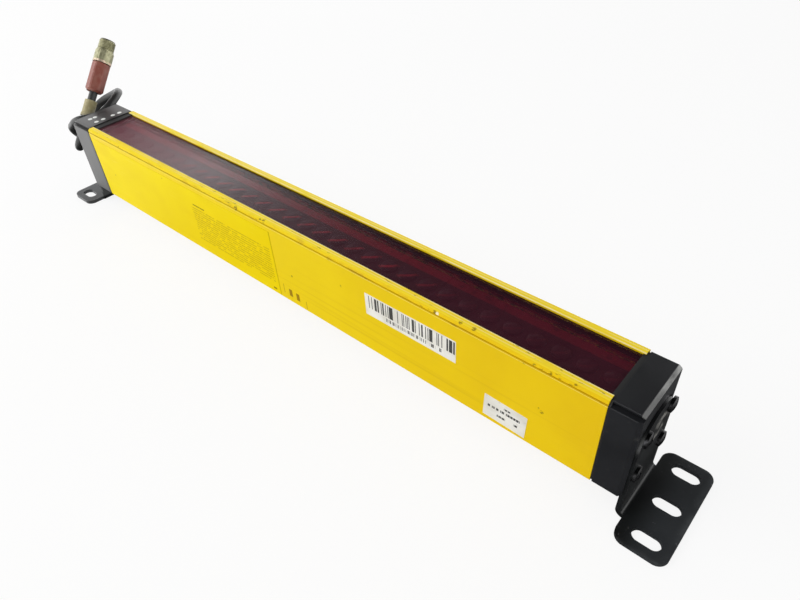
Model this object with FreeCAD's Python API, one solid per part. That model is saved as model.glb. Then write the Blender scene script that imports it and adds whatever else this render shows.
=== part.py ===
import FreeCAD
import Part
import math
import os

V = FreeCAD.Vector

# Safety light curtain: a long aluminium housing with a dark filter window along its top, an end cap
# and a folded mounting bracket at each end, and a short cable with a round connector at the far end.
# Millimetres. X runs along the housing towards the blank end, Y across it, Z up towards the window.
# The origin is on the mounting surface, midway between the two feet.

# Beams and overall form
beam_count = 32
beams_per_module = 8
beam_pitch = 12.7
body_width = 38.5
body_height = 53.8
near_cap_length = 12.3
far_cap_length = 21.6

# Housing extrusion
side_wall = 2.2
back_wall = 2.4
back_land_width = 6.0
back_relief = 0.5
top_step = 2.5
groove_depth = 0.8
groove_height = 0.6
bead_inset = 0.25
bead_radius = 1.8
corner_radius = 1.0
edge_radius = 0.3
lip_opening = 28.8
lip_thickness = 1.2
slot_reach = 2.1
shelf_thickness = 1.2
rail_reach = 1.6
rail_thickness = 1.2
port_bore = 4.1
port_wall = 1.55
port_slit = 1.6

# Window and seals
window_thickness = 3.0
window_play = 0.2
far_seal_length = 4.5
near_seal_length = 1.2
seal_recess = 0.5
gasket_thickness = 1.0
gasket_inset = 0.5

# Optics
carrier_play = 0.25
module_gap = 0.3
strip_width = 26.0
strip_thickness = 1.4
lens_window_gap = 1.1
lens_diameter = 9.2
lens_rim_height = 0.7
lens_crown = 1.2
cone_top_diameter = 8.6
cone_foot_diameter = 5.4
element_board_width = 28.0
board_thickness = 1.6
element_length = 3.2
element_width = 2.8
element_height = 1.9

# Control electronics
board_play = 0.2
board_end_gap = 6.0
board_split_gap = 4.0
chip_size = 12.0
chip_height = 1.4
chip_pitch = 34.0
capacitor_diameter = 8.0
capacitor_height = 9.5
header_length = 9.0
header_width = 14.0
header_height = 6.4

# End caps
cap_wall = 2.4
cap_end_wall = 3.4
cap_bevel = 1.8
cap_bevel_drop = 1.3
cap_step_inset = 2.05
cap_cove = 0.7
cap_boss_diameter = 7.2
bracket_seat_depth = 1.1
bracket_seat_play = 0.25

# Indicators in the far cap
pipe_diameter = 3.2
pipe_length = 6.6
pipe_stand_proud = 0.15
pipe_play = 0.05
pipe_row_from_joint = 5.4
pipe_second_row_from_joint = 13.5
pipe_row = (10.0, 4.6, -3.3, -8.7)
pipe_second_row = (-5.4, -9.2)
lamp_size = 2.2
lamp_height = 0.9
indicator_board_thickness = 1.2

# Mounting brackets
sheet = 2.5
stand_off = 13.0
leg_half_width = 17.0
leg_drop = 10.3
leg_corner_radius = 15.0
bend_radius = 2.0
foot_reach = 26.2
foot_width = 58.0
foot_corner_radius = 5.5
ear_offset = 1.6
slot_width = 7.0
slot_length = 13.5
slot_offset = 14.7
slot_end_flat = 0.004
slot_pitch = 21.0
outlet_bore = 16.0

# Screws, four at each end
screw_spread = 24.0
screw_low = 12.5
screw_high_drop = 17.8
screw_diameter = 4.0
screw_hole_play = 0.5
screw_engagement = 12.0
head_diameter = 7.8
head_height = 2.2
head_crown = 0.8
recess_width = 1.1
recess_span = 4.2
recess_depth = 1.3

# Cable gland
gland_thread_diameter = 12.0
gland_thread_play = 0.1
gland_flange_diameter = 15.2
gland_flange_thickness = 3.6
gland_dome_diameter = 13.0
gland_tip_diameter = 8.4
gland_tip_reach = 12.0
gland_dome_rise = 3.6
gland_dome_round = (0.6, 1.2)
gland_tip_round = (1.1, 0.8)
gland_nut_flats = 15.0
gland_nut_thickness = 3.0
gland_nut_gap = 0.3

# Cable
cable_diameter = 6.0
cable_into_gland = 4.5
lead_bundle_diameter = 3.6
arc_share = 0.45
same_place = 1e-6

# Marker sleeve and connector, measured along the connector's axis from the cable's last turn
sleeve_start = 4.6
sleeve_length = 12.6
sleeve_diameter = 8.8
sleeve_flare_diameter = 9.6
sleeve_flare_length = 3.0
sleeve_flare_step = 1.8
grip_start = 24.2
grip_length = 22.6
grip_flats = 11.7
grip_corner_diameter = 12.8
grip_rear_diameter = 10.4
grip_rear_length = 1.6
cable_into_grip = 3.0
nut_gap = 0.3
nut_ring_length = 10.8
nut_ring_diameter = 13.4
nut_thread_length = 7.6
nut_thread_diameter = 11.8
nut_shoulder_length = 7.4
nut_counterbore = 10.2
journal_diameter = 9.0
journal_play = 0.05
insert_flange_diameter = 9.8
insert_flange_thickness = 1.2
insert_flange_gap = 0.2
insert_front_diameter = 8.4
insert_front_length = 2.2
insert_seal_thickness = 1.2
pin_count = 7
pin_circle = 5.5
pin_diameter = 1.0
pin_reach = 6.4
pin_root = 2.0

# Labels on the side that faces the viewer
label_thickness = 0.15
label_floor = 1.2
label_drop = 6.1
label_end_gap = 1.5
label_cut = 0.0
barcode_length = 58.6
barcode_height = 14.3
barcode_from_centre = 103.2
barcode_middle_height = 34.2
small_sticker_length = 23.7
small_sticker_height = 14.8
small_sticker_from_centre = 161.5
small_sticker_middle_height = 10.3
small_sticker_tilt = -2.5

# The cable's route: distance beyond the far end, across, and height above the housing's back.
# The points are chosen by eye along the cable: out of the gland, up and round behind the cap.
cable_route = [
    (7.5, 0.0, 24.25),
    (15.6, 0.0, 24.25),
    (23.6, 0.5, 24.9),
    (31.2, -0.2, 27.0),
    (36.6, -3.0, 32.0),
    (34.2, -7.0, 38.4),
    (25.0, -11.2, 42.4),
    (15.6, -14.0, 45.8),
    (8.8, -11.4, 50.6),
    (6.5, -2.6, 50.8),
    (6.4, 6.2, 51.4),
    (7.6, 17.0, 54.0),
    (14.5, 27.2, 55.7),
    (26.0, 33.3, 51.8),
    (37.5, 32.2, 46.2),
    (45.5, 26.3, 41.2),
    (48.3, 16.0, 34.5),
    (45.0, 5.5, 27.7),
    (36.4, -4.2, 22.8),
    (26.5, -11.8, 22.0),
    (17.5, -16.0, 26.2),
    (12.9, -14.6, 32.6),
    (12.3, -9.9, 38.7),
    (13.7, -5.3, 43.7),
]
connector_lean = (0.194, 0.679, 0.708)

# Places that follow from the driving dimensions
module_length = beam_pitch * beams_per_module
module_count = beam_count // beams_per_module
housing_run = beam_pitch * beam_count
end_x = (housing_run + near_cap_length + far_cap_length) / 2
near_joint = end_x - near_cap_length
far_joint = -end_x + far_cap_length
back_z = sheet + stand_off
side_y = body_width / 2
inner_y = side_y - side_wall
side_face_height = body_height - top_step
screw_high = body_height - screw_high_drop
outlet_height = (screw_low + screw_high) / 2
leg_height = body_height - leg_drop
lip_y = lip_opening / 2
slot_y = lip_y + slot_reach
window_top = body_height - lip_thickness
window_slot_height = window_thickness + window_play
shelf_top = window_top - window_slot_height
shelf_floor = shelf_top - shelf_thickness
strip_seat_height = shelf_top - lens_window_gap - lens_crown - lens_rim_height - strip_thickness
screw_y = screw_spread / 2
port_radius = port_bore / 2 + port_wall
carrier_floor = screw_high + port_radius
board_floor = outlet_height - board_thickness / 2
board_top = board_floor + board_thickness
rail_height = board_floor - board_play / 2 - rail_thickness
leg_inner = cap_bevel - bracket_seat_depth
leg_outer = leg_inner + sheet
extrusion_start = far_joint + gasket_thickness / 2
extrusion_end = near_joint - gasket_thickness / 2
cable_start = gland_tip_reach - cable_into_gland


def above_back(z):
    return back_z + z


def on_section(y, z, x=0.0):
    return V(x, y, above_back(z))


def outline(corners, place):
    """A flat face whose corners are (a, b) or (a, b, radius)."""
    points = [place(c[0], c[1]) for c in corners]
    radii = [c[2] if len(c) > 2 else 0.0 for c in corners]
    starts = []
    ends = []
    curves = []
    for i, point in enumerate(points):
        if radii[i] <= 0:
            starts.append(point)
            ends.append(point)
            curves.append(None)
            continue
        back = (points[i - 1] - point).normalize()
        ahead = (points[(i + 1) % len(points)] - point).normalize()
        half = back.getAngle(ahead) / 2
        middle = (back + ahead).normalize()
        tangent = radii[i] / math.tan(half)
        starts.append(point + back * tangent)
        ends.append(point + ahead * tangent)
        curves.append(point + middle * (radii[i] / math.sin(half) - radii[i]))
    edges = []
    for i in range(len(points)):
        if curves[i] is not None:
            edges.append(Part.Arc(starts[i], curves[i], ends[i]).toShape())
        following = starts[(i + 1) % len(points)]
        if (following - ends[i]).Length > same_place:
            edges.append(Part.LineSegment(ends[i], following).toShape())
    return Part.Face(Part.Wire(edges))


def prism(corners, x_start, x_end):
    """A section drawn across the housing and pulled along it."""
    face = outline(corners, lambda y, z: on_section(y, z, x_start))
    return face.extrude(V(x_end - x_start, 0, 0))


def both_sides(half):
    """The corners of a section that is the same on both sides of the middle."""
    return half + [(-c[0],) + tuple(c[1:]) for c in reversed(half)]


def rod(diameter, x_start, x_end, y, z):
    low = min(x_start, x_end)
    return Part.makeCylinder(diameter / 2, abs(x_end - x_start), on_section(y, z, low), V(1, 0, 0))


def block(x_start, x_end, y_start, y_end, z_start, z_end):
    corner = on_section(y_start, z_start, x_start)
    return Part.makeBox(x_end - x_start, y_end - y_start, z_end - z_start, corner)


def turned(profile, base, axis):
    """A solid of revolution: profile holds (radius, distance along the axis from the base)."""
    points = [V(r, 0, s) for r, s in profile]
    wire = Part.makePolygon(points + [points[0]])
    solid = Part.Face(wire).revolve(V(0, 0, 0), V(0, 0, 1), 360)
    return stood_on(solid, base, axis)


def stood_on(solid, base, axis):
    """Moves a solid that was made along Z from the origin onto an axis."""
    turn = FreeCAD.Rotation(V(0, 0, 1), axis)
    placed = solid.copy()
    placed.Placement = FreeCAD.Placement(base, turn).multiply(placed.Placement)
    return placed


def hexagon(flats, height):
    reach = flats / math.sqrt(3)
    points = [V(reach * math.cos(math.radians(60 * i)), reach * math.sin(math.radians(60 * i)), 0)
              for i in range(6)]
    return Part.Face(Part.makePolygon(points + [points[0]])).extrude(V(0, 0, height))


def at_far_end(shape):
    """The same piece at the other end of the housing."""
    return shape.mirror(V(0, 0, 0), V(1, 0, 0))


def screw_places():
    return [(y, z) for y in (-screw_y, screw_y) for z in (screw_low, screw_high)]


# Housing

def screw_port(height):
    """The inward bulge on a side wall that carries one screw port."""
    return [
        (inner_y, height + port_radius),
        (screw_y - port_radius, height + port_radius, port_wall),
        (screw_y - port_radius, height - port_radius, port_wall),
        (inner_y, height - port_radius),
    ]


def board_rails():
    """Two ribs with the circuit board's slot between them."""
    upper = board_top + board_play / 2
    rib_y = inner_y - rail_reach
    return [
        (inner_y, upper + rail_thickness),
        (rib_y, upper + rail_thickness),
        (rib_y, upper),
        (inner_y, upper),
        (inner_y, rail_height + rail_thickness),
        (rib_y, rail_height + rail_thickness),
        (rib_y, rail_height),
        (inner_y, rail_height),
    ]


def housing_extrusion():
    groove_top = side_face_height + groove_height
    half = [
        (side_y - back_land_width, back_relief),
        (side_y - back_land_width, 0.0),
        (side_y, 0.0, corner_radius),
        (side_y, side_face_height, edge_radius),
        (side_y - groove_depth, side_face_height),
        (side_y - groove_depth, groove_top),
        (side_y - bead_inset, groove_top),
        (side_y - bead_inset, body_height, bead_radius),
        (lip_y, body_height, edge_radius),
        (lip_y, window_top),
        (slot_y, window_top),
        (slot_y, shelf_top),
        (lip_y, shelf_top),
        (lip_y, shelf_floor),
        (inner_y, shelf_floor),
    ]
    half += screw_port(screw_high)
    half += board_rails()
    half += screw_port(screw_low)
    half.append((inner_y, back_wall + back_relief, corner_radius))
    solid = prism(both_sides(half), extrusion_start, extrusion_end)
    for y, z in screw_places():
        inward = -1 if y > 0 else 1
        slit_end = y + inward * 2 * port_radius
        solid = solid.cut(rod(port_bore, extrusion_start, extrusion_end, y, z))
        solid = solid.cut(block(extrusion_start, extrusion_end, min(y, slit_end), max(y, slit_end),
                                z - port_slit / 2, z + port_slit / 2))
    return solid


def window_section(side_play):
    return [(slot_y - side_play, shelf_top), (slot_y - side_play, shelf_top + window_thickness)]


def front_window():
    start = extrusion_start + far_seal_length
    end = extrusion_end - near_seal_length
    return prism(both_sides(window_section(window_play)), start, end)


def window_seal(x_start, x_end):
    """A rubber block that closes the window's slot at one end of the housing."""
    half = window_section(0.0)
    half.append((lip_y, shelf_top + window_thickness))
    half.append((lip_y, body_height - seal_recess))
    return prism(both_sides(half), x_start, x_end)


def gasket(joint):
    outer_y = side_y - gasket_inset
    outer = [
        (outer_y, gasket_inset, corner_radius),
        (outer_y, side_face_height - gasket_inset),
        (side_y - cap_step_inset - gasket_inset, body_height - gasket_inset),
    ]
    inner = [
        (inner_y, back_wall + back_relief, corner_radius),
        (inner_y, shelf_floor + gasket_inset),
    ]
    start = joint - gasket_thickness / 2
    end = joint + gasket_thickness / 2
    ring = prism(both_sides(outer), start, end)
    return ring.cut(prism(both_sides(inner), start, end))


# Optics

def module_start(index):
    return far_joint + index * module_length + module_gap / 2


def module_end(index):
    return far_joint + (index + 1) * module_length - module_gap / 2


def beam_places(index):
    first = far_joint + index * module_length + beam_pitch / 2
    return [first + i * beam_pitch for i in range(beams_per_module)]


def carrier_ceiling():
    return carrier_floor + board_thickness + board_play


def optic_carrier(index):
    """A black moulding that holds one lens strip above one row of optical elements."""
    outer_y = inner_y - carrier_play
    channel_y = strip_width / 2 + carrier_play
    board_y = element_board_width / 2 + carrier_play
    half = [
        (board_y, carrier_ceiling()),
        (board_y, carrier_floor),
        (outer_y, carrier_floor),
        (outer_y, shelf_floor - carrier_play),
        (channel_y, shelf_floor - carrier_play),
        (channel_y, strip_seat_height),
    ]
    solid = prism(both_sides(half), module_start(index), module_end(index))
    depth = strip_seat_height - carrier_ceiling()
    for x in beam_places(index):
        foot = on_section(0, carrier_ceiling(), x)
        solid = solid.cut(Part.makeCone(cone_foot_diameter / 2, cone_top_diameter / 2, depth, foot))
    return solid


def lens_strip(index):
    """A strip of clear filter plastic with a raised round lens over each beam."""
    half = [(strip_width / 2, strip_seat_height),
            (strip_width / 2, strip_seat_height + strip_thickness)]
    solid = prism(both_sides(half), module_start(index), module_end(index))
    lens_radius = lens_diameter / 2
    ball = (lens_radius ** 2 + lens_crown ** 2) / (2 * lens_crown)
    top = strip_seat_height + strip_thickness
    for x in beam_places(index):
        rim = Part.makeCylinder(lens_radius, lens_rim_height + lens_crown, on_section(0, top, x))
        crown = Part.makeSphere(ball, on_section(0, top + lens_rim_height + lens_crown - ball, x))
        solid = solid.fuse(rim.common(crown))
    return solid.removeSplitter()


def element_board(index):
    top = carrier_ceiling()
    half = [(element_board_width / 2, top - board_thickness), (element_board_width / 2, top)]
    return prism(both_sides(half), module_start(index), module_end(index))


def beam_elements(index):
    """The light sources under one lens strip, one under each lens."""
    foot = carrier_ceiling()
    return Part.makeCompound([
        block(x - element_length / 2, x + element_length / 2, -element_width / 2, element_width / 2,
              foot, foot + element_height) for x in beam_places(index)])


# Control electronics

def board_middle():
    return (far_joint + near_joint) / 2


def control_span():
    return far_joint + board_end_gap, board_middle() - board_split_gap / 2


def driver_span():
    return board_middle() + board_split_gap / 2, near_joint - board_end_gap


def circuit_board(span):
    board_y = inner_y - board_play
    return prism(both_sides([(board_y, board_floor), (board_y, board_top)]), span[0], span[1])


def chips(span, count):
    start = span[0] + header_length + chip_pitch
    found = []
    for i in range(count):
        x = start + i * chip_pitch
        found.append(block(x - chip_size / 2, x + chip_size / 2, -chip_size / 2, chip_size / 2,
                           board_top, board_top + chip_height))
    return found


def capacitors(span, count):
    start = span[0] + header_length + chip_pitch * 1.5
    return [Part.makeCylinder(capacitor_diameter / 2, capacitor_height,
                              on_section(0, board_top, start + i * chip_pitch))
            for i in range(count)]


def lead_header():
    start = control_span()[0]
    return block(start, start + header_length, -header_width / 2, header_width / 2,
                 board_top, board_top + header_height)


def control_parts():
    return Part.makeCompound([lead_header()] + chips(control_span(), 4) + capacitors(control_span(), 2))


def driver_parts():
    return Part.makeCompound(chips(driver_span(), 3) + capacitors(driver_span(), 3))


# End caps

def cap_half_section():
    step_y = side_y - cap_step_inset
    return [
        (side_y, 0.0, corner_radius),
        (side_y, side_face_height, edge_radius),
        (step_y - cap_cove, side_face_height),
        (step_y, side_face_height + 2 * cap_cove),
        (step_y, body_height, edge_radius),
    ]


def bracket_leg_corners(play):
    half = leg_half_width + play
    floor = -stand_off - sheet
    return [
        (-half, floor),
        (half, floor),
        (half, leg_height + play, leg_corner_radius),
        (-half, leg_height + play, leg_corner_radius),
    ]


def beveled_end(joint_x):
    """Everything inside the bevel round the cap's end face, at the near end."""
    tip = end_x + cap_bevel
    y = side_y
    low = 0.0
    high = body_height
    plan = [(joint_x, -y), (end_x, -y), (tip, -y + cap_bevel_drop),
            (tip, y - cap_bevel_drop), (end_x, y), (joint_x, y)]
    side = [(joint_x, low), (end_x, low), (tip, low + cap_bevel_drop),
            (tip, high - cap_bevel_drop), (end_x, high), (joint_x, high)]
    plan_solid = outline(plan, lambda x, b: on_section(b, 0.0, x)).extrude(V(0, 0, body_height))
    side_solid = outline(side, lambda x, c: on_section(-side_y, c, x)).extrude(V(0, body_width, 0))
    return plan_solid.common(side_solid)


def end_cap(length):
    """A moulded cap at the near end, hollow towards the housing, with the bracket's seat outside."""
    mouth = end_x - length + gasket_thickness / 2
    tip = end_x + cap_bevel
    inner_y_cap = side_y - cap_wall
    solid = prism(both_sides(cap_half_section()), mouth, tip).common(beveled_end(mouth))
    pocket = prism(both_sides([
        (inner_y_cap - cap_cove, cap_wall, corner_radius),
        (inner_y_cap - cap_cove, side_face_height - cap_wall, corner_radius),
    ]), mouth, tip - cap_end_wall)
    boss_end = mouth - gasket_thickness
    bosses = []
    for y, z in screw_places():
        outward = 1 if y > 0 else -1
        wall_y = outward * (inner_y - carrier_play)
        root = rod(cap_boss_diameter, boss_end, tip - cap_end_wall, y, z)
        web = block(boss_end, tip - cap_end_wall, min(y, wall_y), max(y, wall_y),
                    z - port_radius + carrier_play, z + port_radius - carrier_play)
        reach = block(boss_end, tip - cap_end_wall, -inner_y + carrier_play, inner_y - carrier_play,
                      z - cap_boss_diameter, z + cap_boss_diameter)
        bosses.append(root.fuse(web).common(reach))
    solid = solid.cut(pocket)
    for boss in bosses:
        solid = solid.fuse(boss)
    solid = solid.cut(prism(bracket_leg_corners(bracket_seat_play), end_x + leg_inner, tip))
    for y, z in screw_places():
        solid = solid.cut(rod(screw_diameter + screw_hole_play, boss_end, tip, y, z))
    return solid.removeSplitter()


def far_end_cap():
    solid = at_far_end(end_cap(far_cap_length))
    solid = solid.cut(rod(gland_thread_diameter + 2 * gland_thread_play, -end_x - cap_bevel,
                          -end_x - cap_bevel + cap_end_wall, 0, outlet_height))
    for x, y in pipe_places():
        solid = solid.cut(Part.makeCylinder(pipe_diameter / 2 + pipe_play, pipe_length,
                                            on_section(y, body_height - pipe_length, x)))
    ledge_floor = indicator_floor() - cap_wall / 2
    for side in (-1, 1):
        inner = side * (inner_y - rail_reach - cap_wall / 2)
        outer = side * (side_y - cap_wall)
        solid = solid.fuse(block(far_pocket_start(), far_joint - gasket_thickness / 2,
                                 min(inner, outer), max(inner, outer),
                                 ledge_floor, indicator_floor()))
    return solid.removeSplitter()


# Indicators

def pipe_places():
    first = far_joint - pipe_row_from_joint
    second = far_joint - pipe_second_row_from_joint
    return [(first, y) for y in pipe_row] + [(second, y) for y in pipe_second_row]


def indicator_floor():
    return body_height + pipe_stand_proud - pipe_length - lamp_height - indicator_board_thickness


def far_pocket_start():
    return -end_x - cap_bevel + cap_end_wall


def light_pipes():
    foot = indicator_floor() + indicator_board_thickness + lamp_height
    pipes = []
    for x, y in pipe_places():
        pipe = Part.makeCylinder(pipe_diameter / 2, pipe_length, on_section(y, foot, x))
        pipes.append(pipe.makeChamfer(pipe_stand_proud, [pipe.Edges[0]]))
    return Part.makeCompound(pipes)


def indicator_board():
    return block(far_pocket_start() + board_play, far_joint - gasket_thickness,
                 -inner_y + rail_reach, inner_y - rail_reach,
                 indicator_floor(), indicator_floor() + indicator_board_thickness)


def indicator_lamps():
    foot = indicator_floor() + indicator_board_thickness
    half = lamp_size / 2
    return Part.makeCompound([block(x - half, x + half, y - half, y + half, foot, foot + lamp_height)
                              for x, y in pipe_places()])


# Mounting brackets and their screws

def mounting_bracket():
    """One folded sheet: a rounded leg on the cap and a wide slotted foot on the surface."""
    inner = end_x + leg_inner
    outer = end_x + leg_outer
    toe = outer + foot_reach
    crest = above_back(leg_height)
    strip = outline([
        (inner, 0.0, bend_radius + sheet),
        (toe, 0.0),
        (toe, sheet),
        (outer, sheet, bend_radius),
        (outer, crest),
        (inner, crest),
    ], lambda x, z: V(x, -leg_half_width, z)).extrude(V(0, 2 * leg_half_width, 0))
    leg = strip.common(prism(bracket_leg_corners(0.0), inner, toe))
    half = foot_width / 2
    heel = outer + ear_offset
    foot = outline([
        (heel, -half, foot_corner_radius),
        (toe, -half, foot_corner_radius),
        (toe, half, foot_corner_radius),
        (heel, half, foot_corner_radius),
    ], lambda x, y: V(x, y, 0)).extrude(V(0, 0, sheet))
    foot = foot.cut(Part.makeBox(foot_reach, 2 * leg_half_width, sheet,
                                 V(outer, -leg_half_width, 0)).common(foot))
    solid = leg.fuse(foot)
    for y in (-slot_pitch, 0.0, slot_pitch):
        solid = solid.cut(foot_slot(outer + slot_offset, y))
    for y, z in screw_places():
        solid = solid.cut(rod(screw_diameter + screw_hole_play, inner, outer, y, z))
    return solid.removeSplitter()


def outlet_bracket():
    """The far end's bracket, which has an opening for the cable gland as well."""
    opening = rod(outlet_bore, end_x + leg_inner, end_x + leg_outer, 0, outlet_height)
    return at_far_end(mounting_bracket().cut(opening))


def foot_slot(x, y):
    half = slot_length / 2
    across = slot_width / 2
    radius = across - slot_end_flat
    corners = [
        (x - half, y - across, radius),
        (x + half, y - across, radius),
        (x + half, y + across, radius),
        (x - half, y + across, radius),
    ]
    return outline(corners, lambda a, b: V(a, b, 0)).extrude(V(0, 0, sheet))


def cap_screw(y, z, length):
    """A domed cross-recess screw whose head sits on the leg's outer face."""
    seat = end_x + leg_outer
    radius = head_diameter / 2
    ball = (radius ** 2 + head_crown ** 2) / (2 * head_crown)
    head = rod(head_diameter, seat, seat + head_height, y, z)
    head = head.common(Part.makeSphere(ball, on_section(y, z, seat + head_height - ball)))
    for wide, tall in ((recess_span, recess_width), (recess_width, recess_span)):
        head = head.cut(block(seat + head_height - recess_depth, seat + head_height,
                              y - wide / 2, y + wide / 2, z - tall / 2, z + tall / 2))
    return head.fuse(rod(screw_diameter, seat - length, seat, y, z)).removeSplitter()


def cap_screws(cap_length):
    length = leg_outer + cap_length - gasket_thickness / 2 + gasket_thickness + screw_engagement
    return Part.makeCompound([cap_screw(y, z, length) for y, z in screw_places()])


# Cable gland at the far end

def gland_base(distance):
    """A point on the gland's axis, given by its distance beyond the far end."""
    return on_section(0, outlet_height, -end_x - distance)


def gland_body():
    """The threaded body: flange on the cap's end wall, thread through the wall, bore for the cable."""
    wall_inside = cap_bevel - cap_end_wall
    tail = wall_inside - gland_nut_thickness - gland_nut_gap
    flange_top = leg_inner + gland_flange_thickness
    profile = [
        (lead_bundle_diameter / 2, tail),
        (gland_thread_diameter / 2, tail),
        (gland_thread_diameter / 2, leg_inner),
        (gland_flange_diameter / 2, leg_inner),
        (gland_flange_diameter / 2, flange_top),
        (cable_diameter / 2, flange_top),
        (lead_bundle_diameter / 2, flange_top),
    ]
    return turned(profile, gland_base(0), V(-1, 0, 0))


def gland_dome():
    """The domed clamping nut that the cable leaves."""
    flange_top = leg_inner + gland_flange_thickness
    shoulder = flange_top + gland_dome_rise
    dome_in, dome_up = gland_dome_round
    tip_in, tip_up = gland_tip_round
    profile = [
        (cable_diameter / 2, cable_start),
        (cable_diameter / 2, gland_tip_reach),
        (gland_tip_diameter / 2, gland_tip_reach),
        (gland_tip_diameter / 2 + tip_in, gland_tip_reach - tip_up),
        (gland_dome_diameter / 2 - dome_in, shoulder + dome_up),
        (gland_dome_diameter / 2, shoulder),
        (gland_dome_diameter / 2, flange_top),
        (lead_bundle_diameter / 2, flange_top),
        (lead_bundle_diameter / 2, cable_start),
    ]
    return turned(profile, gland_base(0), V(-1, 0, 0))


def gland_locknut():
    wall_inside = cap_bevel - cap_end_wall
    nut = hexagon(gland_nut_flats, gland_nut_thickness)
    nut = nut.cut(Part.makeCylinder(gland_thread_diameter / 2, gland_nut_thickness))
    return stood_on(nut, gland_base(wall_inside), V(1, 0, 0))


# Cable route

def route_point(point):
    return on_section(point[1], point[2], -end_x - point[0])


def connector_axis():
    return V(-connector_lean[0], connector_lean[1], connector_lean[2]).normalize()


def along_connector(distance):
    return route_point(cable_route[-1]) + connector_axis() * distance


def smooth_path(points, name):
    """Straight runs joined by tangent arcs, each as large as its two runs allow."""
    edges = []
    radii = []
    last = points[0]
    for before, corner, after in zip(points, points[1:], points[2:]):
        back = before - corner
        ahead = after - corner
        tangent = arc_share * min(back.Length, ahead.Length)
        back.normalize()
        ahead.normalize()
        half = back.getAngle(ahead) / 2
        radius = tangent * math.tan(half)
        middle = (back + ahead).normalize()
        start = corner + back * tangent
        end = corner + ahead * tangent
        crest = corner + middle * (radius / math.sin(half) - radius)
        edges.append(Part.LineSegment(last, start).toShape())
        edges.append(Part.Arc(start, crest, end).toShape())
        radii.append(radius)
        last = end
    edges.append(Part.LineSegment(last, points[-1]).toShape())
    path = Part.Wire(edges)
    print(name, "radii", [round(r, 1) for r in radii], "length", round(path.Length, 1))
    return path


def tube_along(path, diameter, name):
    first = path.Edges[0]
    direction = first.tangentAt(first.FirstParameter)
    ring = Part.Wire(Part.makeCircle(diameter / 2, path.OrderedVertexes[0].Point, direction))
    tube = path.makePipeShell([ring], True, False)
    expected = math.pi * diameter ** 2 / 4 * path.Length
    print(name, "volume over section times length", round(tube.Volume / expected, 4))
    return tube


def cable():
    points = [route_point(p) for p in cable_route]
    points.append(along_connector(grip_start + cable_into_grip))
    return tube_along(smooth_path(points, "cable"), cable_diameter, "cable")


def inner_leads():
    """The bundle of cores from the jacket's end inside the gland to the header on the board."""
    header_x = control_span()[0]
    header_z = board_top + header_height / 2
    points = [
        gland_base(cable_start),
        gland_base(cap_bevel - cap_end_wall - gland_nut_thickness - 2 * lead_bundle_diameter),
        on_section(0, header_z, header_x - 2 * lead_bundle_diameter),
        on_section(0, header_z, header_x),
    ]
    return tube_along(smooth_path(points, "inner leads"), lead_bundle_diameter, "inner leads")


# Marker sleeve and connector

def marker_sleeve():
    bore = cable_diameter / 2
    profile = [
        (bore, 0),
        (sleeve_flare_diameter / 2, 0),
        (sleeve_flare_diameter / 2, sleeve_flare_step),
        (sleeve_diameter / 2, sleeve_flare_length),
        (sleeve_diameter / 2, sleeve_length),
        (bore, sleeve_length),
    ]
    return turned(profile, along_connector(sleeve_start), connector_axis())


def connector_grip():
    """The moulded grip: rounded hexagon with a short tapered tail round the cable."""
    envelope = turned([
        (0, 0),
        (grip_rear_diameter / 2, 0),
        (grip_corner_diameter / 2, grip_rear_length),
        (grip_corner_diameter / 2, grip_length - edge_radius * 2),
        (grip_corner_diameter / 2 - edge_radius * 2, grip_length),
        (0, grip_length),
    ], V(0, 0, 0), V(0, 0, 1))
    solid = hexagon(grip_flats, grip_length).common(envelope)
    solid = solid.cut(Part.makeCylinder(cable_diameter / 2, cable_into_grip))
    return stood_on(solid, along_connector(grip_start), connector_axis())


def nut_base():
    return grip_start + grip_length


def coupling_nut():
    """The grip ring and its outer thread, free to turn on the insert's journal."""
    length = nut_ring_length + nut_thread_length
    bore = journal_diameter / 2 + journal_play
    profile = [
        (bore, nut_gap),
        (nut_ring_diameter / 2 - edge_radius, nut_gap),
        (nut_ring_diameter / 2, nut_gap + edge_radius),
        (nut_ring_diameter / 2, nut_ring_length - edge_radius),
        (nut_ring_diameter / 2 - edge_radius, nut_ring_length),
        (nut_thread_diameter / 2, nut_ring_length),
        (nut_thread_diameter / 2, length - edge_radius * 2),
        (nut_thread_diameter / 2 - edge_radius * 2, length),
        (nut_counterbore / 2, length),
        (nut_counterbore / 2, nut_gap + nut_shoulder_length),
        (bore, nut_gap + nut_shoulder_length),
    ]
    solid = turned(profile, V(0, 0, 0), V(0, 0, 1))
    return stood_on(solid, along_connector(nut_base()), connector_axis())


def insert_front():
    """Where the insert's front face lies, from the grip's front face."""
    return (nut_gap + nut_shoulder_length + insert_flange_gap + insert_flange_thickness
            + insert_front_length)


def connector_insert():
    """The contact carrier: journal for the nut, flange that keeps the nut on, and front boss."""
    flange_start = nut_gap + nut_shoulder_length + insert_flange_gap
    flange_end = flange_start + insert_flange_thickness
    solid = turned([
        (0, 0),
        (journal_diameter / 2, 0),
        (journal_diameter / 2, flange_start),
        (insert_flange_diameter / 2, flange_start),
        (insert_flange_diameter / 2, flange_end),
        (insert_front_diameter / 2, flange_end),
        (insert_front_diameter / 2, insert_front()),
        (0, insert_front()),
    ], V(0, 0, 0), V(0, 0, 1))
    for x, y in pin_places():
        solid = solid.cut(Part.makeCylinder(pin_diameter / 2, pin_root, V(x, y, insert_front() - pin_root)))
    return stood_on(solid, along_connector(nut_base()), connector_axis())


def connector_seal():
    start = insert_front() - insert_front_length
    profile = [
        (insert_front_diameter / 2, start),
        (insert_flange_diameter / 2, start),
        (insert_flange_diameter / 2, start + insert_seal_thickness),
        (insert_front_diameter / 2, start + insert_seal_thickness),
    ]
    return turned(profile, along_connector(nut_base()), connector_axis())


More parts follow.
